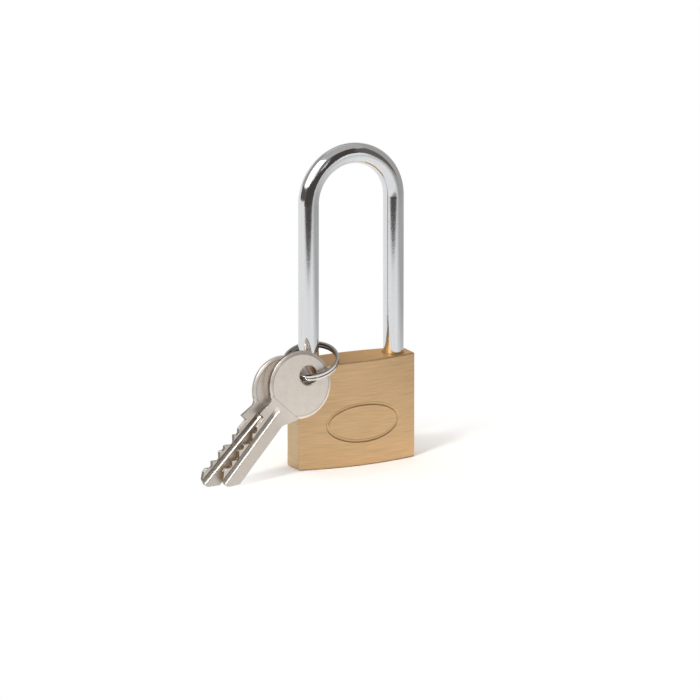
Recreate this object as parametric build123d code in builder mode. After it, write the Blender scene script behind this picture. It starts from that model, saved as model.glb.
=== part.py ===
from build123d import *
import os
from math import cos, pi, radians, sin, sqrt, tan

os.makedirs("parts", exist_ok=True)

# Brass body: an extruded bar with flat narrow sides and bowed faces, cut to length.
body_width = 40.0
body_height = 33.0
body_side = 8.0
body_middle = 13.5
corner_radius = 0.6
rim_bevel = 0.35
mouth_bevel = 0.45

# Long shackle: the right leg is the toe, the left leg is the heel that stays in the body.
shackle_radius = 3.2
leg_x = 14.6
bow_centre_z = 82.6
shackle_bore = 3.28
toe_end_z = 23.0
toe_bore_floor = 22.4
neck_radius = 2.2
neck_top_z = 23.4
neck_low_z = 10.6
heel_end_z = 8.2
heel_bore_floor = 1.8
toe_bevel = 0.7
heel_bevel = 0.4

# Opposed bolts in a cross bore, moved by two eccentric pins on the plug.
bolt_z = 28.0
bolt_radius = 2.9
bolt_bore = 2.98
nose_reach = leg_x - shackle_radius + 1.15
nose_flat = 0.2
nose_slope = tan(radians(60))
bolt_head_x = 8.6
arm_half_height = 1.2
arm_outer_y = 2.6
arm_inner_y = 0.15
drive_offset = 2.5
drive_radius = 0.7
drive_play = 0.12
notch_play_low = 1.65
notch_play_high = 0.2
notch_floor_play = 0.2
drive_seat = 1.4
drive_rise = 3.0

# Plug, its keyway and the five pin stacks on the right of it.
plug_radius = 4.75
plug_bore = 4.82
plug_low_z = 0.3
plug_top_z = 26.4
plug_bevel = 0.25
chamber_roof_z = 30.0
keyway_half = 0.95
keyway_play = 0.15
keyway_top_z = 24.6
ward_reach = 0.45
pin_heights = [5.2, 8.5, 11.8, 15.1, 18.4]
cut_depths = [0.9, 1.8, 0.6, 1.5, 1.1]
cut_flat = 0.35
cut_flank = 1.0
pin_radius = 1.22
pin_bore = 1.3
pin_seat_x = 0.3
pin_tip = 0.9
key_pin_end_x = 4.55
driver_start_x = 4.87
driver_length = 4.0
chamber_plug_x = 17.4
plug_pin_radius = 0.75
plug_pin_z = 2.2
plug_pin_x = -4.9
plug_pin_front = 3.0
heel_pin_radius = 0.9
heel_pin_z = 22.3
heel_pin_x = -leg_x + 3.2
heel_pin_front = 3.6
pin_hole_play = 0.2
flush_play = 0.03

# Springs of square wire, in straight steps: mean radius, wire and turns.
coil_steps = 8
heel_coil = (2.5, 0.6, 3)
pin_coil = (0.95, 0.3, 3)
seat_gap = 0.02

# Split ring of two turns round the left leg, pulled to the front by the keys.
ring_centre = Vector(-15.48, -3.27, 34.10)
ring_normal = Vector(-0.275, -0.3155, 0.908)
ring_outer = 8.7
ring_wire_wide = 0.86
ring_wire_high = 0.70
ring_step = 1.12
ring_ramp = 40.0
ring_low_end = 215.0

# Keys: local x runs away from the cut edge, local y towards the top of the bow.
bow_radius = 10.5
bow_thick = 1.9
bow_bevel_wide = 0.8
bow_bevel_deep = 0.4
blade_thick = 1.6
key_hole_radius = 2.95
key_hole_at = (0.1, 3.9)
key_hole_bevel = 0.25
neck_left = [(-5.6, -8.0), (-4.7, -10.3)]
neck_right = (6.5, -8.25)
blade_step_y = -8.3
blade_cut_x = -3.6
blade_back_x = 3.3
blade_back_y = -13.3
shoulder = (-5.5, -15.1)
tip_points = [(blade_cut_x, -35.9), (-2.2, -38.0), (-0.5, -38.6), (0.6, -38.6), (blade_back_x, -35.6)]
groove_wide = 1.8
groove_deep = 0.5
groove_start_y = -9.4
groove_full_y = -11.8
front_groove_x = -1.4
back_groove_x = 1.0

# A key in the plug stands with its middle this far off the axis of the plug.
key_offset_x = -0.8


def save(part, name):
    part.label = name
    export_step(part, f"parts/{name}.step")


def half_thickness(x):
    """Half of the body's thickness at a distance x from its middle."""
    sag = (body_middle - body_side) / 2
    bow = ((body_width / 2) ** 2 + sag**2) / (2 * sag)
    return body_middle / 2 - bow + sqrt(bow**2 - x**2)


def across(x, y, z):
    """A location that drills towards the middle from the right side."""
    return Location((x, y, z), (0, 90, 0))


def from_back(x, y, z):
    """A location that drills towards the front from the back face."""
    return Location((x, y, z), (-90, 0, 0))


# Body with the bores for legs, plug, pins, bolts and cross pins.
with BuildPart() as lock_body:
    with BuildSketch():
        with BuildLine():
            w, s, m = body_width / 2, body_side / 2, body_middle / 2
            Line((w, -s), (w, s))
            ThreePointArc((w, s), (0, m), (-w, s))
            Line((-w, s), (-w, -s))
            ThreePointArc((-w, -s), (0, -m), (w, -s))
        make_face()
    extrude(amount=body_height)
    fillet(lock_body.edges().filter_by(Axis.Z), corner_radius)
    chamfer(lock_body.faces().sort_by(Axis.Z)[-1].edges(), rim_bevel)
    chamfer(lock_body.faces().sort_by(Axis.Z)[0].edges(), rim_bevel)
    with Locations((leg_x, 0, body_height)):
        Hole(shackle_bore, depth=body_height - toe_bore_floor)
    with Locations((-leg_x, 0, body_height)):
        Hole(shackle_bore, depth=body_height - heel_bore_floor)
    mouths = lock_body.faces().sort_by(Axis.Z)[-1].inner_wires()
    chamfer([edge for wire in mouths for edge in wire.edges()], mouth_bevel)
    with Locations(Location((0, 0, 0), (180, 0, 0))):
        Hole(plug_bore, depth=chamber_roof_z)
    with Locations(*[across(body_width / 2, 0, z) for z in pin_heights]):
        Hole(pin_bore, depth=body_width / 2)
    with Locations(across(body_width / 2, 0, bolt_z)):
        Hole(bolt_bore, depth=body_width / 2 + leg_x)
    with Locations(from_back(heel_pin_x, half_thickness(heel_pin_x) + pin_hole_play, heel_pin_z)):
        Hole(heel_pin_radius, depth=half_thickness(heel_pin_x) + heel_pin_front + pin_hole_play)
    with Locations(from_back(plug_pin_x, half_thickness(plug_pin_x) + pin_hole_play, plug_pin_z)):
        Hole(plug_pin_radius, depth=half_thickness(plug_pin_x) + plug_pin_front + pin_hole_play)
save(lock_body.part, "lock_body")


# Shackle: a bent round bar, the heel with a turned neck, both legs notched inside.
with BuildPart() as shackle:
    with BuildLine(Plane.XZ) as bar:
        Line((-leg_x, neck_top_z), (-leg_x, bow_centre_z))
        ThreePointArc((-leg_x, bow_centre_z), (0, bow_centre_z + leg_x), (leg_x, bow_centre_z))
        Line((leg_x, bow_centre_z), (leg_x, toe_end_z))
    with BuildSketch(Plane((-leg_x, 0, neck_top_z))):
        Circle(shackle_radius)
    sweep()
    chamfer(shackle.faces().sort_by(Axis.Z)[0].edges(), toe_bevel)
    with BuildSketch(Plane((-leg_x, 0, neck_low_z - 0.5))):
        Circle(neck_radius)
    extrude(amount=neck_top_z - neck_low_z + 1.0)
    with BuildSketch(Plane((-leg_x, 0, heel_end_z))):
        Circle(shackle_radius)
    extrude(amount=neck_low_z - heel_end_z)
    chamfer(shackle.faces().sort_by(Axis.Z)[0].edges(), heel_bevel)
    # V notches for the noses of the bolts, with room below for the lift to start.
    floor_x = nose_reach + notch_floor_play
    mouth_x = leg_x - shackle_radius - 0.5
    for side in (1, -1):
        corners = []
        for x, up in [(floor_x, 1), (mouth_x, 1), (mouth_x, -1), (floor_x, -1)]:
            nose = nose_flat + nose_slope * (nose_reach - x)
            play = notch_play_high if up > 0 else notch_play_low
            corners.append((side * x, bolt_z + up * (nose + play)))
        with BuildSketch(Plane.XZ):
            with BuildLine():
                Polyline(*corners, close=True)
            make_face()
        extrude(amount=shackle_radius + 1, both=True, mode=Mode.SUBTRACT)
save(shackle.part, "shackle")


def coil(size, start, length, along):
    """Compression spring of square wire between two seats."""
    radius, wire, turns = size
    steps = turns * coil_steps
    with BuildPart() as spring:
        for step in range(steps + 1):
            turn = 2 * pi * step / coil_steps
            rise = seat_gap + wire / 2 + (length - 2 * seat_gap - wire) * step / steps
            spot = (radius * cos(turn), radius * sin(turn), rise)
            out = (cos(turn), sin(turn), 0)
            with BuildSketch(Plane(origin=spot, x_dir=out, z_dir=(-sin(turn), cos(turn), 0))):
                Rectangle(wire, wire)
        loft(ruled=True)
    plane = Plane(origin=start, x_dir=(0, 1, 0), z_dir=along)
    return spring.part.moved(plane.location)


save(coil(heel_coil, (-leg_x, 0, heel_bore_floor), heel_end_z - heel_bore_floor, (0, 0, 1)), "heel_spring")

# Toe bolt: a round head with a cone nose and a forked arm round its drive pin.
drive_x = drive_offset * cos(radians(45))
with BuildPart() as toe_bolt:
    with BuildSketch(Plane.XZ):
        with BuildLine():
            cone_x = nose_reach - (bolt_radius - nose_flat) / nose_slope
            Polyline(
                (bolt_head_x, bolt_z),
                (bolt_head_x, bolt_z + bolt_radius),
                (cone_x, bolt_z + bolt_radius),
                (nose_reach, bolt_z + nose_flat),
                (nose_reach, bolt_z),
                close=True,
            )
        make_face()
    revolve(axis=Axis((0, 0, bolt_z), (1, 0, 0)))
    arm_end_x = drive_x - drive_radius - drive_play - 1.05
    with BuildSketch(Plane.XY.offset(bolt_z - arm_half_height)):
        with BuildLine():
            Polyline(
                (arm_end_x, arm_inner_y),
                (bolt_head_x + 0.5, arm_inner_y),
                (bolt_head_x + 0.5, arm_outer_y),
                (arm_end_x, arm_outer_y),
                close=True,
            )
        make_face()
        fork = drive_radius + drive_play
        with Locations((drive_x, arm_inner_y + 0.8)):
            Rectangle(2 * fork, 4, align=(Align.CENTER, Align.MIN), mode=Mode.SUBTRACT)
    extrude(amount=2 * arm_half_height)
save(toe_bolt.part, "toe_bolt")

# The heel bolt is the same piece turned half round.
with BuildPart() as heel_bolt:
    add(toe_bolt.part, rotation=(0, 0, 180))
save(heel_bolt.part, "heel_bolt")

# Plug with keyway, wards, pin chambers, retaining groove and holes for the drive pins.
with BuildPart() as plug:
    with BuildSketch(Plane.XY.offset(plug_low_z)):
        Circle(plug_radius)
    extrude(amount=plug_top_z - plug_low_z)
    chamfer(plug.edges().filter_by(GeomType.CIRCLE).sort_by(Axis.Z)[0], plug_bevel)
    with BuildSketch(Plane.XY):
        keyway_left = key_offset_x - blade_back_x - keyway_play
        keyway_right = key_offset_x - blade_cut_x + keyway_play
        with Locations((keyway_left, 0)):
            Rectangle(keyway_right - keyway_left, 2 * keyway_half, align=(Align.MIN, Align.CENTER))
        for groove_x, side in [(front_groove_x, -1), (back_groove_x, 1)]:
            with Locations((key_offset_x - groove_x, side * keyway_half)):
                Rectangle(ward_reach, 2 * ward_reach, mode=Mode.SUBTRACT)
    extrude(amount=keyway_top_z, mode=Mode.SUBTRACT)
    with Locations(*[across(plug_radius + 0.5, 0, z) for z in pin_heights]):
        Hole(pin_bore, depth=plug_radius + 0.5 - pin_seat_x)
    with BuildSketch(Plane.XZ):
        with Locations((plug_radius - 0.7, plug_pin_z)):
            Rectangle(1.5, 2 * plug_pin_radius + 0.2, align=(Align.MIN, Align.CENTER))
    revolve(axis=Axis.Z, mode=Mode.SUBTRACT)
    with Locations((drive_x, drive_x, plug_top_z), (-drive_x, -drive_x, plug_top_z)):
        Hole(drive_radius, depth=drive_seat)
save(plug.part, "plug")

for name, side in [("drive_pin_toe", 1), ("drive_pin_heel", -1)]:
    with BuildPart() as drive_pin:
        with BuildSketch(Plane((side * drive_x, side * drive_x, plug_top_z - drive_seat))):
            Circle(drive_radius)
        extrude(amount=drive_seat + drive_rise)
    save(drive_pin.part, name)

# Cross pins, driven in from the back and dressed flush with it.
for name, x, z, radius, front in [
    ("heel_pin", heel_pin_x, heel_pin_z, heel_pin_radius, heel_pin_front),
    ("plug_pin", plug_pin_x, plug_pin_z, plug_pin_radius, plug_pin_front),
]:
    with BuildPart() as cross_pin:
        with BuildSketch(Plane(origin=(x, -front, z), z_dir=(0, 1, 0))):
            Circle(radius)
        extrude(amount=front + half_thickness(abs(x) + radius) - flush_play)
    save(cross_pin.part, name)

# Five pin stacks, standing at the shear line as the right key holds them.
for number, (z, depth) in enumerate(zip(pin_heights, cut_depths), start=1):
    axis = Axis((0, 0, z), (1, 0, 0))
    tip_x = key_offset_x - blade_cut_x - depth
    with BuildPart() as key_pin:
        with BuildSketch(Plane.XZ):
            with BuildLine():
                Polyline(
                    (tip_x, z),
                    (tip_x, z + cut_flat),
                    (tip_x + pin_tip, z + pin_radius),
                    (key_pin_end_x, z + pin_radius),
                    (key_pin_end_x, z),
                    close=True,
                )
            make_face()
        revolve(axis=axis)
    save(key_pin.part, f"key_pin_{number}")

    driver_end = driver_start_x + driver_length
    with BuildPart() as driver_pin:
        with BuildSketch(Plane.XZ):
            with BuildLine():
                Polyline(
                    (driver_start_x, z),
                    (driver_start_x, z + pin_radius),
                    (driver_end, z + pin_radius),
                    (driver_end, z),
                    close=True,
                )
            make_face()
        revolve(axis=axis)
    save(driver_pin.part, f"driver_pin_{number}")

    room = chamber_plug_x - driver_end
    save(coil(pin_coil, (driver_end, 0, z), room, (1, 0, 0)), f"pin_spring_{number}")

    with BuildPart() as chamber_plug:
        with BuildSketch(Plane(origin=(chamber_plug_x, 0, z), z_dir=(1, 0, 0))):
            Circle(pin_bore)
        extrude(amount=body_width / 2 - chamber_plug_x - flush_play)
    save(chamber_plug.part, f"chamber_plug_{number}")

# Plug that closes the cross bore of the bolts.
with BuildPart() as bore_plug:
    bore_plug_x = leg_x + shackle_bore + 0.25
    with BuildSketch(Plane(origin=(bore_plug_x, 0, bolt_z), z_dir=(1, 0, 0))):
        Circle(bolt_bore)
    extrude(amount=body_width / 2 - bore_plug_x - flush_play)
save(bore_plug.part, "bore_plug")

# Split ring: one wire of two turns, with a ramp where it climbs from one to the other.
ring_radius = ring_outer - ring_wire_wide / 2


def ring_height(angle):
    """Height of the wire, counted from its low end round both turns."""
    climb = min(max((angle - 360 + ring_ramp) / ring_ramp, 0), 1)
    return -ring_step / 2 * cos(pi * climb)


def ring_section(angle):
    """Plane of the wire's section at an angle from its low end."""
    turn = radians(angle)
    spot = (ring_radius * cos(turn), ring_radius * sin(turn), ring_height(angle))
    return Plane(origin=spot, x_dir=(cos(turn), sin(turn), 0), z_dir=(-sin(turn), cos(turn), 0))


with BuildPart() as split_ring_flat:
    for start in (0, 360):
        with BuildSketch(ring_section(start)):
            Rectangle(ring_wire_wide, ring_wire_high)
        revolve(axis=Axis.Z, revolution_arc=360 - ring_ramp)
    ramp_steps = 6
    for step in range(ramp_steps + 1):
        with BuildSketch(ring_section(360 - ring_ramp + ring_ramp * step / ramp_steps)):
            Rectangle(ring_wire_wide, ring_wire_high)
    loft(ruled=True)
ring_plane = Plane(origin=ring_centre, x_dir=Vector(0, 0, 1).cross(ring_normal), z_dir=ring_normal)
with BuildPart() as split_ring:
    add(split_ring_flat.part.moved(ring_plane.location * Location((0, 0, 0), (0, 0, ring_low_end))))
save(split_ring.part, "split_ring")
wire_points = [ring_section(angle).origin for angle in range(0, 721 - int(ring_ramp), 2)]
between = [(a - b).length for i, a in enumerate(wire_points) for b in wire_points[i + 90:]]
print("split ring, least gap between its turns:", round(min(between) - ring_wire_high, 3), "mm")


def key_plane(centre, tip, facing):
    """Plane of a key from its bow centre, its tip and the way its face looks."""
    up = (Vector(*centre) - Vector(*tip)).normalized()
    look = Vector(sin(radians(facing)), -cos(radians(facing)), 0)
    normal = (look - up * look.dot(up)).normalized()
    return Plane(origin=centre, x_dir=up.cross(normal), z_dir=normal)


# Key blank: bevelled round bow, shoulder on the cut side, grooved blade with five cuts.
tip_y = min(y for x, y in tip_points)
with BuildPart() as key_flat:
    with BuildSketch(Plane.XZ):
        with BuildLine():
            half, rim = bow_thick / 2, bow_thick / 2 - bow_bevel_deep
            flat = bow_radius - bow_bevel_wide
            Polyline(
                (0, -half),
                (flat, -half),
                (bow_radius, -rim),
                (bow_radius, rim),
                (flat, half),
                (0, half),
                close=True,
            )
        make_face()
    revolve(axis=Axis.Z)
    for side in (1, -1):
        with BuildSketch(Plane.XY.offset(side * bow_thick / 2)):
            with Locations((0, blade_step_y)):
                Rectangle(2 * bow_radius, bow_radius, align=(Align.CENTER, Align.MAX))
        extrude(amount=-side * (bow_thick - blade_thick) / 2, mode=Mode.SUBTRACT)
    with BuildSketch(Plane.XY.offset(-blade_thick / 2)):
        with BuildLine():
            Polyline(
                *neck_left,
                shoulder,
                (blade_cut_x, shoulder[1]),
                *tip_points,
                (blade_back_x, blade_back_y),
                neck_right,
                close=True,
            )
        make_face()
        for z, depth in zip(pin_heights, cut_depths):
            cut_y = shoulder[1] - (z - plug_low_z)
            root_x = blade_cut_x + depth
            reach = depth + 1
            with BuildLine():
                Polyline(
                    (root_x, cut_y + cut_flat),
                    (root_x, cut_y - cut_flat),
                    (root_x - reach, cut_y - cut_flat - reach * cut_flank),
                    (root_x - reach, cut_y + cut_flat + reach * cut_flank),
                    close=True,
                )
            make_face(mode=Mode.SUBTRACT)
    extrude(amount=blade_thick)
    with Locations(key_hole_at):
        Hole(key_hole_radius)
    circles = key_flat.edges().filter_by(GeomType.CIRCLE)
    chamfer(circles.filter_by(lambda e: e.radius == key_hole_radius), key_hole_bevel)
    # Milled grooves with slanted walls, running out below the bow.
    for side, middle in [(1, front_groove_x), (-1, back_groove_x)]:
        face, floor = side * bow_thick / 2, side * (blade_thick / 2 - groove_deep)
        level = side * blade_thick / 2
        slant = abs(face - level)
        with BuildPart(mode=Mode.PRIVATE) as groove:
            with BuildSketch(Plane.XZ.offset(-groove_start_y)):
                with BuildLine():
                    top, base = groove_wide / 2 + slant, groove_wide / 2 - groove_deep
                    Polyline(
                        (middle - top, face),
                        (middle - base, floor),
                        (middle + base, floor),
                        (middle + top, face),
                        close=True,
                    )
                make_face()
            extrude(amount=groove_start_y - tip_y + 1)
            with BuildSketch(Plane.YZ):
                with BuildLine():
                    Polyline(
                        (groove_start_y, face),
                        (groove_full_y, floor),
                        (tip_y - 1, floor),
                        (tip_y - 1, face),
                        close=True,
                    )
                make_face()
            extrude(amount=bow_radius, both=True, mode=Mode.INTERSECT)
        add(groove.part, mode=Mode.SUBTRACT)

key_poses = {
    "key_front": key_plane((-22.29, -9.02, 28.67), (-48.60, -11.14, 0.50), -2.7),
    "key_rear": key_plane((-26.36, -6.43, 27.07), (-54.33, -8.67, 0.56), -7.5),
}
for name, plane in key_poses.items():
    with BuildPart() as key:
        add(key_flat.part.moved(plane.location))
    save(key.part, name)
    print(name, "lowest point", round(key.part.bounding_box().min.Z, 3))
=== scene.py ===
from math import copysign, cos, pi, radians, sin, sqrt

import bmesh
import bpy
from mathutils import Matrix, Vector


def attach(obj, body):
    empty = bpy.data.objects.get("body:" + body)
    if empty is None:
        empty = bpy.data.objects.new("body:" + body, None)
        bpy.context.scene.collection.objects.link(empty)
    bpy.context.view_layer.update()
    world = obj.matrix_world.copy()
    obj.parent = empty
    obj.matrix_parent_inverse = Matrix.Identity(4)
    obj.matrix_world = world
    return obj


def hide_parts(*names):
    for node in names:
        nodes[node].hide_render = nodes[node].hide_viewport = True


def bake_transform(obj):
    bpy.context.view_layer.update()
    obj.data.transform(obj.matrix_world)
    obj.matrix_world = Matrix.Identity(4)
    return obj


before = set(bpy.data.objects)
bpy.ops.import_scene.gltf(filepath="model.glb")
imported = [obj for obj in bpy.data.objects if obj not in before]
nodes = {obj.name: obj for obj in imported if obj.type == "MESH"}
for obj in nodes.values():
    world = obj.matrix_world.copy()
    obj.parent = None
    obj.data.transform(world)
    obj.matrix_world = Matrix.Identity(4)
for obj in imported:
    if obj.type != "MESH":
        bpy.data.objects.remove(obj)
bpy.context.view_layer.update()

WHITE = (1.0, 1.0, 1.0)

# Camera at the photograph's viewing angle, far off. Places in metres, lens and sensor in millimetres.
AZIMUTH = radians(-27.05)
ELEVATION = radians(13.98)
AIM = Vector((-0.00079, -0.00089, 0.03539))
DISTANCE = 3.756
LENS = 629.4
SENSOR = 36.0
NEAREST = 0.1
FARTHEST = 20.0


def direction(azimuth, elevation):
    """Unit vector from the object; azimuth 0 is the front, positive is to the right."""
    flat = cos(elevation)
    return Vector((sin(azimuth) * flat, -cos(azimuth) * flat, sin(elevation)))


def add_camera():
    """The camera of the scene, with the plain view transform."""
    camera = bpy.data.objects.new("camera", bpy.data.cameras.new("camera"))
    bpy.context.scene.collection.objects.link(camera)
    to_camera = direction(AZIMUTH, ELEVATION)
    camera.data.sensor_width = SENSOR
    camera.data.lens = LENS
    camera.data.clip_start = NEAREST
    camera.data.clip_end = FARTHEST
    camera.location = AIM + to_camera * DISTANCE
    camera.rotation_mode = "QUATERNION"
    camera.rotation_quaternion = to_camera.to_track_quat("Z", "Y")
    bpy.context.scene.camera = camera
    bpy.context.scene.view_settings.view_transform = "Standard"


# Noise in all finishes: its layers, the weight of the finer ones, and the span that a tone follows.
LAYERS = 3.0
SOFT = 0.55
CRISP = 0.6
SPAN = (0.3, 0.7)

# Samples for a rounded edge, and the roughness of a metal without its pattern.
BEVEL_SAMPLES = 6
PLAIN_ROUGHNESS = 0.4


class Graph:
    """A node tree, with short names for the nodes that the script needs."""

    def __init__(self, tree):
        self.tree = tree

    def add(self, kind, **options):
        """A new node with its options set."""
        node = self.tree.nodes.new(kind)
        for option, value in options.items():
            setattr(node, option, value)
        return node

    def set(self, node, socket, value):
        """Link a socket, or give a constant."""
        target = node.inputs[socket]
        if isinstance(value, bpy.types.NodeSocket):
            self.tree.links.new(value, target)
        else:
            target.default_value = value

    def fill(self, node, *values):
        """Give the first sockets of a node their values."""
        for index, value in enumerate(values):
            self.set(node, index, value)
        return node

    def math(self, operation, *values):
        return self.fill(self.add("ShaderNodeMath", operation=operation), *values).outputs[0]

    def size(self, value):
        return self.math("ABSOLUTE", value)

    def above(self, value, limit):
        return self.math("GREATER_THAN", value, limit)

    def below(self, value, limit):
        return self.math("LESS_THAN", value, limit)

    def product(self, *factors):
        """All factors multiplied: of zeros and ones, where all of them hold."""
        result = factors[0]
        for factor in factors[1:]:
            result = self.math("MULTIPLY", result, factor)
        return result

    def darken(self, tone, share, loss):
        """A tone less a loss, in full where the share is one."""
        return self.math("SUBTRACT", tone, self.math("MULTIPLY", share, loss))

    def vector(self, operation, a, b):
        """A vector from two vectors."""
        return self.fill(self.add("ShaderNodeVectorMath", operation=operation), a, b).outputs["Vector"]

    def measure(self, operation, a, b):
        """A number from two vectors."""
        return self.fill(self.add("ShaderNodeVectorMath", operation=operation), a, b).outputs["Value"]

    def dot(self, a, b):
        return self.measure("DOT_PRODUCT", a, b)

    def xyz(self, vector):
        return self.fill(self.add("ShaderNodeSeparateXYZ"), vector).outputs

    def join(self, x, y, z):
        return self.fill(self.add("ShaderNodeCombineXYZ"), x, y, z).outputs[0]

    def remap(self, value, low, high, to_low, to_high, **options):
        """A value moved from one range to another, and held inside it."""
        node = self.add("ShaderNodeMapRange", clamp=True, **options)
        return self.fill(node, value, low, high, to_low, to_high).outputs[0]

    def line(self, value, middle, half):
        """One where a value is at the middle, falling to nothing at half the line's width."""
        return self.remap(self.size(self.math("SUBTRACT", value, middle)), 0.0, half, 1.0, 0.0)

    def noise(self, vector, cells, weight=SOFT, layers=LAYERS):
        """Noise with its own number of cells per metre along each axis."""
        node = self.add("ShaderNodeTexNoise")
        self.set(node, "Vector", self.vector("MULTIPLY", vector, cells))
        self.set(node, "Scale", 1.0)
        self.set(node, "Detail", layers)
        self.set(node, "Roughness", weight)
        return node.outputs["Fac"]

    def vary(self, pattern, low, high):
        """A noise pattern spread over a range."""
        return self.remap(pattern, *SPAN, low, high)

    def mix(self, share, a, b):
        """Mix of two colours."""
        node = self.add("ShaderNodeMix", data_type="RGBA")
        self.set(node, 0, share)
        for index, color in ((6, a), (7, b)):
            if isinstance(color, tuple):
                color = (*color, 1.0)
            self.set(node, index, color)
        return node.outputs[2]

    def tint(self, color, value):
        """A colour made darker or lighter by a number."""
        node = self.add("ShaderNodeVectorMath", operation="SCALE")
        self.set(node, 0, color)
        self.set(node, "Scale", value)
        return node.outputs["Vector"]

    def glow(self, color, strength):
        """Light sent out by a surface."""
        node = self.add("ShaderNodeEmission")
        self.set(node, "Color", (*color, 1.0))
        self.set(node, "Strength", strength)
        return node.outputs[0]


class Shade(Graph):
    """A metal with patterns. Its plain colour and roughness are for programs that don't run the nodes."""

    def __init__(self, name, color, roughness=PLAIN_ROUGHNESS):
        self.mat = bpy.data.materials.new(name)
        self.mat.use_nodes = True
        super().__init__(self.mat.node_tree)
        self.bsdf = self.tree.nodes["Principled BSDF"]
        self.set(self.bsdf, "Base Color", (*color, 1.0))
        self.set(self.bsdf, "Metallic", 1.0)
        self.set(self.bsdf, "Roughness", roughness)
        coords = self.add("ShaderNodeTexCoord")
        self.place = coords.outputs["Object"]
        self.normal = coords.outputs["Normal"]

    def finish(self, color, roughness):
        """Link the patterns of the colour and the roughness."""
        self.set(self.bsdf, "Base Color", color)
        self.set(self.bsdf, "Roughness", roughness)

    def bump(self, height, distance, rounding=0.0):
        """Relief from a height field, over edges that are rounded by a radius if one is given."""
        node = self.add("ShaderNodeBump")
        self.set(node, "Strength", 1.0)
        self.set(node, "Distance", distance)
        self.set(node, "Height", height)
        if rounding:
            bevel = self.add("ShaderNodeBevel", samples=BEVEL_SAMPLES)
            self.set(bevel, "Radius", rounding)
            self.set(node, "Normal", bevel.outputs[0])
        self.set(self.bsdf, "Normal", node.outputs[0])


# Brass bar: golden on the bows, paler on the sawn sides, warmer on top, with painted shade on top, darkest
# at the ring's end.
BRASS = (0.715, 0.492, 0.274)
SIDE_BRASS = (0.605, 0.443, 0.264)
SHADED_TOP_BRASS = (0.54, 0.298, 0.088)
TOP_SHADE_ENDS = (-0.004, 0.012)
TOP_SHADE_TONES = (0.86, 1.22)

# How squarely a face has to look along an axis to be a side or an end, and painted shade on the slopes
# between faces.
FACING = 0.75
CHAMFER_SLOPE = (0.3, 0.5)
CHAMFER_SHADE = 0.25

# Brushing: cells per metre, how far each pattern changes the tone, and the roughness and relief they give.
FINE_CELLS = (130, 0, 3600)
FINE_DEPTH = 0.13
STROKE_CELLS = (45, 0, 1700)
STROKE_DEPTH = 0.06
CLOUD_CELLS = (60, 60, 120)
CLOUD_LAYERS = 2.0
CLOUD_TONES = (0.97, 1.03)
BRUSHED_SPAN = (0.25, 0.75)
BRUSHED_ROUGHNESS = (0.40, 0.54)
BRUSHED_SHARE = 0.06
BRUSHED_RELIEF = 0.00025


def brushed_brass(name):
    """Brass bar stock, linished in level strokes round the body."""
    shade = Shade(name, BRASS)
    normal_x, normal_y, normal_z = shade.xyz(shade.normal)
    x, y, z = shade.xyz(shade.place)
    side = shade.above(shade.size(normal_x), FACING)
    top = shade.above(normal_z, FACING)
    end = shade.above(shade.size(normal_z), FACING)
    length = shade.math("MULTIPLY_ADD", side, shade.math("SUBTRACT", y, x), x)
    level = shade.math("MULTIPLY_ADD", end, shade.math("SUBTRACT", y, z), z)
    strokes = shade.join(length, 0.0, level)
    fine = shade.noise(strokes, FINE_CELLS, CRISP)
    stroke = shade.noise(strokes, STROKE_CELLS)
    cloud = shade.noise(shade.place, CLOUD_CELLS, layers=CLOUD_LAYERS)
    tone = shade.vary(cloud, *CLOUD_TONES)
    for pattern, depth in ((stroke, STROKE_DEPTH), (fine, FINE_DEPTH)):
        tone = shade.math("ADD", tone, shade.vary(pattern, -depth, depth))
    # Painted shade on the slopes between faces, which dims their glint.
    sloped = shade.math("MINIMUM", shade.size(normal_z), shade.size(normal_y))
    tone = shade.math("SUBTRACT", tone, shade.remap(sloped, *CHAMFER_SLOPE, 0.0, CHAMFER_SHADE))
    color = shade.mix(side, BRASS, SIDE_BRASS)
    # Painted shade: the top takes a darker, warmer brass, darker still towards the ring's end.
    color = shade.mix(top, color, shade.tint(SHADED_TOP_BRASS, shade.remap(x, *TOP_SHADE_ENDS, *TOP_SHADE_TONES)))
    shade.finish(shade.tint(color, tone), shade.remap(fine, *BRUSHED_SPAN, *BRUSHED_ROUGHNESS))
    shade.bump(shade.math("MULTIPLY", shade.math("ADD", fine, stroke), BRUSHED_SHARE), BRUSHED_RELIEF)
    return shade.mat


# Brass turned on a lathe.
LATHE_CELLS = (500, 500, 4000)
LATHE_TONES = (0.85, 1.05)
LATHE_ROUGHNESS = (0.28, 0.42)
LATHE_RELIEF = 0.00002


def turned_brass(name):
    """Brass with the rings of a lathe, for the plug and the pins."""
    shade = Shade(name, BRASS, sum(LATHE_ROUGHNESS) / 2)
    ring = shade.noise(shade.place, LATHE_CELLS)
    shade.finish(shade.tint(BRASS, shade.vary(ring, *LATHE_TONES)), shade.vary(ring, *LATHE_ROUGHNESS))
    shade.bump(ring, LATHE_RELIEF)
    return shade.mat


# Split ring in metres, as in the part, with painted shade: bright outside, darker towards the inside of its
# turns.
RING_CENTRE = (-0.01548, -0.00327, 0.03410)
RING_AXIS = tuple(Vector((-0.275, -0.3155, 0.908)).normalized())
RING_INNER = 0.00784
RING_OUTER = 0.0087
RING_SHADE_TONES = (0.3, 1.1)


def ring_painted_shade(shade):
    """Painted shade on the ring: how bright it is, by the distance from its axis."""
    local = shade.vector("SUBTRACT", shade.place, RING_CENTRE)
    height = shade.dot(local, RING_AXIS)
    reach = shade.math("SUBTRACT", shade.dot(local, local), shade.math("POWER", height, 2.0))
    return shade.remap(shade.math("SQRT", reach), RING_INNER, RING_OUTER, *RING_SHADE_TONES)


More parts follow.
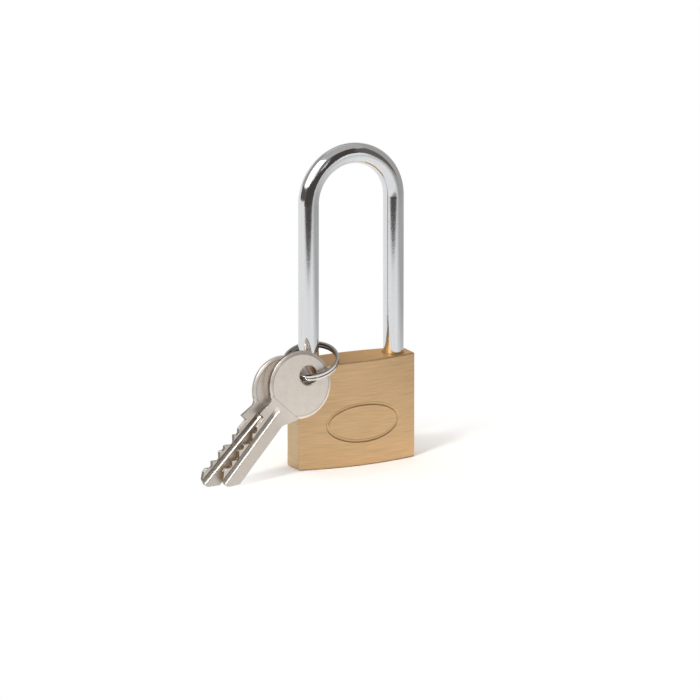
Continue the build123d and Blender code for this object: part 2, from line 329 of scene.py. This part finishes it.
# Bright plate of shackle and ring: colour, roughness, cells of its orange peel per metre, rounded edge.
SHACKLE_PLATE = ((0.70, 0.705, 0.715), (0.085, 0.125), 1800)
RING_PLATE = ((0.64, 0.62, 0.59), (0.10, 0.16), 1500, 0.00012)
PEEL_DEPTH = 0.03
PEEL_RELIEF = 0.000006
DRAWN_CELLS = (2600, 2600, 90)
DRAWN_TONES = (0.97, 1.03)


def plated(name, color, roughness, grain, rounding=0.0, painted_shade=None):
    """Bright plate over drawn steel: a fine orange peel and faint drawing lines, and painted shade where it
    is given.
    """
    shade = Shade(name, color)
    peel = shade.noise(shade.place, (grain, grain, grain), CRISP)
    drawn = shade.noise(shade.place, DRAWN_CELLS, CRISP)
    tone = shade.math("ADD", shade.vary(peel, -PEEL_DEPTH, PEEL_DEPTH), shade.vary(drawn, *DRAWN_TONES))
    if painted_shade:
        tone = shade.math("MULTIPLY", tone, painted_shade(shade))
    shade.finish(shade.tint(color, tone), shade.vary(peel, *roughness))
    shade.bump(peel, PEEL_RELIEF, rounding)
    return shade.mat


# Keys as in the part: bow centre and tip in millimetres, and the way the face looks in degrees.
KEY_POSES = {
    "key_front": ((-22.29, -9.02, 28.67), (-48.60, -11.14, 0.50), -2.7),
    "key_rear": ((-26.36, -6.43, 27.07), (-54.33, -8.67, 0.56), -7.5),
}
MILLIMETRE = 0.001

# Places on a key in metres from the centre of its bow, x across to the right and y up along it.
BLADE_TOP = -0.0152
CUT_EDGE = -0.00355
CUT_FLOOR = -0.0016
STEP_LINE = -0.0083
STEP_HALF = 0.00022
RIM_LINE = 0.0096
RIM_HALF = 0.00028
HOLE_REACH = 0.009
EDGE_SIDE = -0.003
GROOVE_TOP = -0.0108
GROOVE_FADE = 0.002
BOW_ROUNDING = 0.00035
BLADE_ROUNDING = 0.00010

# Tones of a key, and what its features take from them: painted shade at the cuts, edges, step, rim and hole,
# and a darker blade; an edge has two losses, at the neck and at the bow.
NICKEL = (0.915, 0.841, 0.765)
KEY_CUTS = {"key_front": (0.36, 0.24, 0.12), "key_rear": (0.25, 0.22, 0.19)}
EDGE_SHADE = {"key_front": (0.70, 0.78), "key_rear": (0.50, 0.45)}
EDGE_ON = 0.5
BLADE_TONE = 0.83
STEP_SHADE = 0.30
RIM_SHADE = 0.38
HOLE_SHADE = 0.68

# Painted shade in bands of a key's milled groove: left and right side in metres, and the loss of tone
# between them.
GROOVE_SHADE_BANDS = (
    (-0.00225, -0.00078, 0.5),
    (-0.00102, -0.00078, 0.34),
    (-0.00078, -0.00048, 0.5),
    (-0.00048, -0.00030, 0.18),
)

# Satin finish of a key: cells per metre, change of tone, relief and roughness.
TUMBLE_CELLS = (420, 420, 420)
TUMBLE_TONES = (0.96, 1.04)
GRAIN_CELLS = (2400, 2400, 2400)
GRAIN_DEPTH = 0.03
GRAIN_RELIEF = 0.000008
KEY_ROUGHNESS = (0.43, 0.49)


def key_frame(centre, tip, facing):
    """Origin and axes of a key in metres, from its bow centre, its tip and the way its face looks."""
    centre, tip = Vector(centre), Vector(tip)
    up = (centre - tip).normalized()
    look = direction(radians(facing), 0.0)
    normal = (look - up * look.dot(up)).normalized()
    return tuple(tuple(item) for item in (centre * MILLIMETRE, up.cross(normal), up, normal))


def key_tone(shade, tone, x, y, edge, edge_shade):
    """The tone of a key's plate, with painted shade at its step, rim, grooves, hole and left edge, and
    darker along the blade.
    """
    reach = shade.math("SQRT", shade.math("ADD", shade.math("POWER", x, 2.0), shade.math("POWER", y, 2.0)))
    bow = shade.above(y, STEP_LINE)
    tone = shade.darken(tone, shade.line(y, STEP_LINE, STEP_HALF), STEP_SHADE)
    tone = shade.darken(tone, shade.product(shade.line(reach, RIM_LINE, RIM_HALF), bow), RIM_SHADE)
    groove = shade.remap(y, GROOVE_TOP - GROOVE_FADE, GROOVE_TOP, 1.0, 0.0)
    for left, right, loss in GROOVE_SHADE_BANDS:
        band = shade.product(shade.above(x, left), shade.below(x, right), groove)
        tone = shade.darken(tone, band, loss)
    tone = shade.math("MULTIPLY", tone, shade.remap(y, BLADE_TOP, STEP_LINE, BLADE_TONE, 1.0))
    hole = shade.product(edge, shade.below(reach, HOLE_REACH), bow)
    tone = shade.darken(tone, hole, HOLE_SHADE)
    # Painted shade on the left edge, where the other key shades it.
    outside = shade.product(shade.above(reach, HOLE_REACH), shade.above(y, BLADE_TOP))
    left_edge = shade.product(edge, shade.below(x, EDGE_SIDE), outside)
    loss = shade.remap(y, STEP_LINE - STEP_HALF, STEP_LINE + STEP_HALF, *edge_shade)
    return shade.darken(tone, left_edge, loss)


def nickel_key(key):
    """Satin nickel plate of one key, cut through to bare brass at the bitting, darkened there as painted
    shade.
    """
    origin, across, up, normal = key_frame(*KEY_POSES[key])
    shade = Shade(key + "_nickel", NICKEL)
    local = shade.vector("SUBTRACT", shade.place, origin)
    x = shade.dot(local, across)
    y = shade.dot(local, up)
    edge = shade.below(shade.size(shade.dot(shade.normal, normal)), EDGE_ON)
    tumble = shade.noise(shade.place, TUMBLE_CELLS, CRISP)
    grain = shade.noise(shade.place, GRAIN_CELLS, CRISP)
    tone = shade.math("ADD", shade.vary(tumble, *TUMBLE_TONES), shade.vary(grain, -GRAIN_DEPTH, GRAIN_DEPTH))
    tone = key_tone(shade, tone, x, y, edge, EDGE_SHADE[key])
    bitting = shade.product(shade.above(x, CUT_EDGE), shade.below(x, CUT_FLOOR), shade.below(y, BLADE_TOP))
    # The cuts show bare brass, darkened as painted shade.
    color = shade.mix(shade.product(edge, bitting), shade.tint(NICKEL, tone), KEY_CUTS[key])
    shade.finish(color, shade.vary(tumble, *KEY_ROUGHNESS))
    shade.bump(grain, GRAIN_RELIEF, shade.remap(y, BLADE_TOP, STEP_LINE, BLADE_ROUNDING, BOW_ROUNDING))
    return shade.mat


# Steel of the inner pieces: colour and roughness, and the spread of the roughness about that.
HARD_STEEL = ((0.50, 0.50, 0.50), 0.30)
SPRING_STEEL = ((0.42, 0.42, 0.43), 0.28)
STEEL_CELLS = (1500, 1500, 1500)
STEEL_TONES = (0.88, 1.05)
STEEL_SPREAD = (-0.05, 0.08)
STEEL_RELIEF = 0.00001


def steel(name, color, roughness):
    """Ground or drawn steel for the small inner pieces."""
    shade = Shade(name, color, roughness)
    turned = shade.noise(shade.place, STEEL_CELLS)
    spread = [roughness + change for change in STEEL_SPREAD]
    shade.finish(shade.tint(color, shade.vary(turned, *STEEL_TONES)), shade.vary(turned, *spread))
    shade.bump(turned, STEEL_RELIEF)
    return shade.mat


def arc_radius(half, rise):
    """Radius of an arc, from half its chord and its rise."""
    return (half**2 + rise**2) / (2 * rise)


# Body in metres: front and back bow out on one arc, and a plain oval line is pressed into the front.
BODY_HALF = 0.020
SIDE_REACH = 0.004
MIDDLE_REACH = 0.00675
BOW_RADIUS = arc_radius(BODY_HALF, MIDDLE_REACH - SIDE_REACH)
BOW_PLAY = 0.000008
OVAL_CENTRE = (0.0012, 0.0136)
OVAL_HALF = (0.0122, 0.0058)
OVAL_STEPS = 120
LINE_HALF = 0.00055
LINE_DEPTH = 0.00028
LINE_STEPS = 32
WELD = 0.0000001
SHARP = radians(30)
FRONT = -1


def bow_reach(x):
    """How far the bowed faces stand from the middle of the body."""
    return MIDDLE_REACH - BOW_RADIUS + sqrt(BOW_RADIUS**2 - x**2)


def bow_normal(x, side):
    """The way a bowed face looks: side is -1 for the front and 1 for the back."""
    lean = x / BOW_RADIUS
    return Vector((lean, side * sqrt(1 - lean**2), 0))


def add_mesh(name, shape):
    """An object from a finished bmesh."""
    mesh = bpy.data.meshes.new(name)
    shape.to_mesh(mesh)
    shape.free()
    item = bpy.data.objects.new(name, mesh)
    bpy.context.scene.collection.objects.link(item)
    return item


def oval_tool():
    """A tube along the oval that dips into the front by the depth of the line."""
    radius = arc_radius(LINE_HALF, LINE_DEPTH)
    angles = [2 * pi * part / LINE_STEPS for part in range(LINE_STEPS)]
    tool = bmesh.new()
    rows = []
    for step in range(OVAL_STEPS):
        turn = 2 * pi * step / OVAL_STEPS
        x = OVAL_CENTRE[0] + OVAL_HALF[0] * cos(turn)
        z = OVAL_CENTRE[1] + OVAL_HALF[1] * sin(turn)
        normal = bow_normal(x, FRONT)
        away = Vector((OVAL_HALF[1] * cos(turn), OVAL_HALF[0] * sin(turn))).normalized()
        across = Vector((-normal.y * away.x, normal.x * away.x, away.y))
        middle = Vector((x, -bow_reach(x), z)) + normal * (radius - LINE_DEPTH)
        spots = [middle + (across * cos(angle) + normal * sin(angle)) * radius for angle in angles]
        rows.append([tool.verts.new(spot) for spot in spots])
    for row, following in zip(rows, rows[1:] + rows[:1]):
        for part in range(LINE_STEPS):
            tool.faces.new((row[part - 1], row[part], following[part], following[part - 1]))
    bmesh.ops.recalc_face_normals(tool, faces=tool.faces)
    return add_mesh("oval_tool", tool)


def smooth_bows(mesh):
    """Smooth shading between sharp edges, with the true normals of the arc on the bowed faces."""
    mesh.shade_smooth()
    mesh.set_sharp_from_angle(angle=SHARP)
    normals = [corner.vector.copy() for corner in mesh.corner_normals]
    for face in mesh.polygons:
        spots = [mesh.vertices[index].co for index in face.vertices]
        if all(abs(abs(spot.y) - bow_reach(spot.x)) < BOW_PLAY for spot in spots):
            for corner, spot in zip(face.loop_indices, spots):
                normals[corner] = bow_normal(spot.x, copysign(1, spot.y))
    mesh.normals_split_custom_set(normals)


def stamp_body(material):
    """The lock body with the oval pressed into its front."""
    blank = bmesh.new()
    blank.from_mesh(nodes["lock_body"].data)
    bmesh.ops.remove_doubles(blank, verts=blank.verts, dist=WELD)
    body = add_mesh("stamped_body", blank)
    body.data.attributes.remove(body.data.attributes["custom_normal"])
    tool = oval_tool()
    press = body.modifiers.new("press", "BOOLEAN")
    press.operation = "DIFFERENCE"
    press.object = tool
    shaped = body.evaluated_get(bpy.context.evaluated_depsgraph_get())
    body.data = bpy.data.meshes.new_from_object(shaped)
    body.modifiers.clear()
    bpy.data.objects.remove(tool)
    smooth_bows(body.data)
    body.data.materials.clear()
    body.data.materials.append(material)
    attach(body, "lock_body")
    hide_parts("lock_body")


# Springs of the pin stacks.
PIN_COUNT = 5


def add_coil(node, material):
    """A copy of a spring of the frame in its place, with the given material, in place of the hidden node."""
    coil = bpy.data.objects.new(node + "_coil", nodes[node].data.copy())
    bpy.context.scene.collection.objects.link(coil)
    coil.data.materials.clear()
    coil.data.materials.append(material)
    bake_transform(coil)
    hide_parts(node)


def add_coils(material):
    """Copies of the long leg's spring and of each pin spring."""
    add_coil("heel_spring", material)
    for number in range(1, PIN_COUNT + 1):
        add_coil(f"pin_spring_{number}", material)


def wear(name, material):
    """Give a node of the frame its material."""
    for slot in nodes[name].material_slots:
        slot.material = material


def dress_nodes():
    """Materials for all nodes, and the pieces that stand for the body and the springs."""
    body_brass = brushed_brass("body_brass")
    inner_brass = turned_brass("inner_brass")
    shackle_plate = plated("shackle_plate", *SHACKLE_PLATE)
    # The ring takes painted shade, darker towards the inside of its turns.
    ring_plate = plated("ring_plate", *RING_PLATE, painted_shade=ring_painted_shade)
    hard_steel = steel("hard_steel", *HARD_STEEL)
    spring_wire = steel("spring_wire", *SPRING_STEEL)
    for name in nodes:
        if name == "lock_body":
            stamp_body(body_brass)
        elif name == "bore_plug" or name.startswith("chamber_plug"):
            wear(name, body_brass)
        elif name == "plug" or name.startswith(("key_pin", "driver_pin")):
            wear(name, inner_brass)
        elif name == "shackle":
            wear(name, shackle_plate)
        elif name == "split_ring":
            wear(name, ring_plate)
        elif name in KEY_POSES:
            wear(name, nickel_key(name))
        elif "spring" not in name:
            wear(name, hard_steel)
    add_coils(spring_wire)


# Floor in metres: it ends in front of the lock, and has a zone round the lock that shows the shadow.
# The floor's warm colour is painted bounce light from the brass, seen in the shadow.
FLOOR_COLOR = (0.97, 0.93, 0.885)
FLOOR_FRONT = 0.270
FLOOR_BACK = 2.2
FLOOR_HALF = 0.34
FLOOR_LEVEL = -0.00002
FLOOR_CENTRE = (0.008, 0.0, 0.0)
FLOOR_NEAR = 0.018
FLOOR_FAR = 0.064
FLOOR_GLOW = 0.05
FLOOR_RIGHT = (0.05, 0.20)
FLOOR_MIRRORED = (1.0, 0.5)


def bare_material(name):
    """A material with nothing in it but its output, and the graph of its nodes."""
    material = bpy.data.materials.new(name)
    material.use_nodes = True
    graph = Graph(material.node_tree)
    graph.tree.nodes.remove(graph.tree.nodes["Principled BSDF"])
    return material, graph


def floor_material():
    """White floor: the shadow near the lock, plain white away from it, mirrored dimmer on the right."""
    material, graph = bare_material("floor_white")
    path = graph.add("ShaderNodeLightPath").outputs
    place = graph.add("ShaderNodeNewGeometry").outputs["Position"]
    diffuse = graph.add("ShaderNodeBsdfDiffuse")
    graph.set(diffuse, "Color", (*FLOOR_COLOR, 1.0))
    mirrored = graph.remap(graph.xyz(place)["X"], *FLOOR_RIGHT, *FLOOR_MIRRORED)
    glow = graph.glow(WHITE, graph.math("MAXIMUM", path["Is Camera Ray"], mirrored))
    seen = graph.math("MAXIMUM", path["Is Camera Ray"], path["Is Glossy Ray"])
    reach = graph.measure("DISTANCE", place, FLOOR_CENTRE)
    away = graph.remap(reach, FLOOR_NEAR, FLOOR_FAR, FLOOR_GLOW, 1.0, interpolation_type="SMOOTHSTEP")
    share = graph.math("MULTIPLY", seen, away)
    mixed = graph.fill(graph.add("ShaderNodeMixShader"), share, diffuse.outputs[0], glow)
    graph.set(graph.tree.nodes["Material Output"], "Surface", mixed.outputs[0])
    return material


def glow_material(name, color, radiance):
    """A surface that only sends out light."""
    material, graph = bare_material(name)
    graph.set(graph.tree.nodes["Material Output"], "Surface", graph.glow(color, radiance))
    return material


def panel(name, width, height, material):
    """A flat panel of the studio, lying at the origin."""
    mesh = bpy.data.meshes.new(name)
    x, y = width / 2, height / 2
    mesh.from_pydata([(-x, -y, 0), (x, -y, 0), (x, y, 0), (-x, y, 0)], [], [(0, 1, 2, 3)])
    mesh.materials.append(material)
    item = bpy.data.objects.new(name, mesh)
    bpy.context.scene.collection.objects.link(item)
    return item


def add_floor():
    """The floor, turned so that its front edge is level in the picture."""
    floor = panel("floor", 2 * FLOOR_HALF, FLOOR_FRONT + FLOOR_BACK, floor_material())
    middle = direction(AZIMUTH, 0.0) * ((FLOOR_FRONT - FLOOR_BACK) / 2)
    floor.location = (middle.x, middle.y, FLOOR_LEVEL)
    floor.rotation_euler = (0, 0, AZIMUTH)


# Cards that only reflections see: name, azimuth, elevation, distance, width, height, colour, brightness.
DARK = (0.075, 0.066, 0.062)
CARDS = (
    ("low_flag", -27, 1, 0.95, 2.04, 0.74, DARK),
    ("tall_flag", 16, 39, 0.9, 0.58, 1.0, DARK),
    ("middle_card", -21, 42, 0.97, 0.32, 0.74, (0.22, 0.21, 0.20)),
    ("right_flag", 46, 24, 0.88, 0.48, 0.80, (0.15, 0.135, 0.125)),
    ("right_low", 44, -10, 0.97, 0.50, 0.36, (0.44, 0.42, 0.40)),
    ("left_wall", -135, 33, 1.0, 0.90, 0.90, (0.42, 0.41, 0.40)),
    ("right_wall", 95, 22, 0.9, 1.7, 1.5, (0.46, 0.45, 0.44)),
    ("back_wall", 168, 52, 1.3, 2.6, 1.3, (0.34, 0.34, 0.34)),
    ("overhead", 0, 88, 0.85, 1.3, 1.3, (0.53, 0.52, 0.51)),
    ("left_flag", -98, 7, 0.8, 1.1, 0.28, (0.12, 0.11, 0.10)),
    ("left_box", -80, 43, 0.75, 0.72, 0.64, WHITE, 2.4),
)

# Lamps: name, azimuth, elevation, distance, width, height, radiance. Angles are in degrees, here and above.
LAMPS = (
    ("key_light", -60, 49, 0.75, 0.12, 0.12, 62.0),
    ("ceiling", 150, 82, 1.0, 1.7, 1.5, 0.5),
)

# The point that cards and lamps turn to, and the light of the white surroundings.
STAGE_AIM = Vector((0, 0, 0.045))
TOWARDS = -1
AWAY = 1
WORLD_DIFFUSE = 0.64


def stand(item, azimuth, elevation, distance, facing):
    """Stand a card or lamp off the lock, with its Z axis towards the lock or away from it."""
    way = direction(radians(azimuth), radians(elevation))
    item.location = STAGE_AIM + way * distance
    item.rotation_mode = "QUATERNION"
    item.rotation_quaternion = (way * facing).to_track_quat("Z", "Y")


def add_card(name, azimuth, elevation, distance, width, height, color, radiance=1.0):
    """A wall, flag or bright panel that only the metal's reflections see."""
    card = panel(name, width, height, glow_material(name, color, radiance))
    stand(card, azimuth, elevation, distance, TOWARDS)
    card.visible_camera = False
    card.visible_diffuse = False
    card.visible_shadow = False


def add_lamp(name, azimuth, elevation, distance, width, height, radiance):
    """A lamp with a flat face, aimed at the middle of the lock."""
    light = bpy.data.lights.new(name, "AREA")
    light.shape = "RECTANGLE"
    light.size = width
    light.size_y = height
    light.energy = radiance * pi * width * height
    holder = bpy.data.objects.new(name, light)
    bpy.context.scene.collection.objects.link(holder)
    stand(holder, azimuth, elevation, distance, AWAY)
    holder.visible_camera = False


def add_world():
    """White surroundings, full for what is seen or mirrored and dimmer as light on the floor."""
    world = bpy.data.worlds.new("studio")
    bpy.context.scene.world = world
    world.use_nodes = True
    graph = Graph(world.node_tree)
    path = graph.add("ShaderNodeLightPath").outputs
    seen = graph.math("MAXIMUM", path["Is Camera Ray"], path["Is Glossy Ray"])
    seen = graph.math("MAXIMUM", seen, path["Is Transmission Ray"])
    background = graph.tree.nodes["Background"]
    graph.set(background, "Color", (*WHITE, 1.0))
    graph.set(background, "Strength", graph.remap(seen, 0.0, 1.0, WORLD_DIFFUSE, 1.0))


add_camera()
dress_nodes()
add_floor()
for card in CARDS:
    add_card(*card)
for lamp in LAMPS:
    add_lamp(*lamp)
add_world()
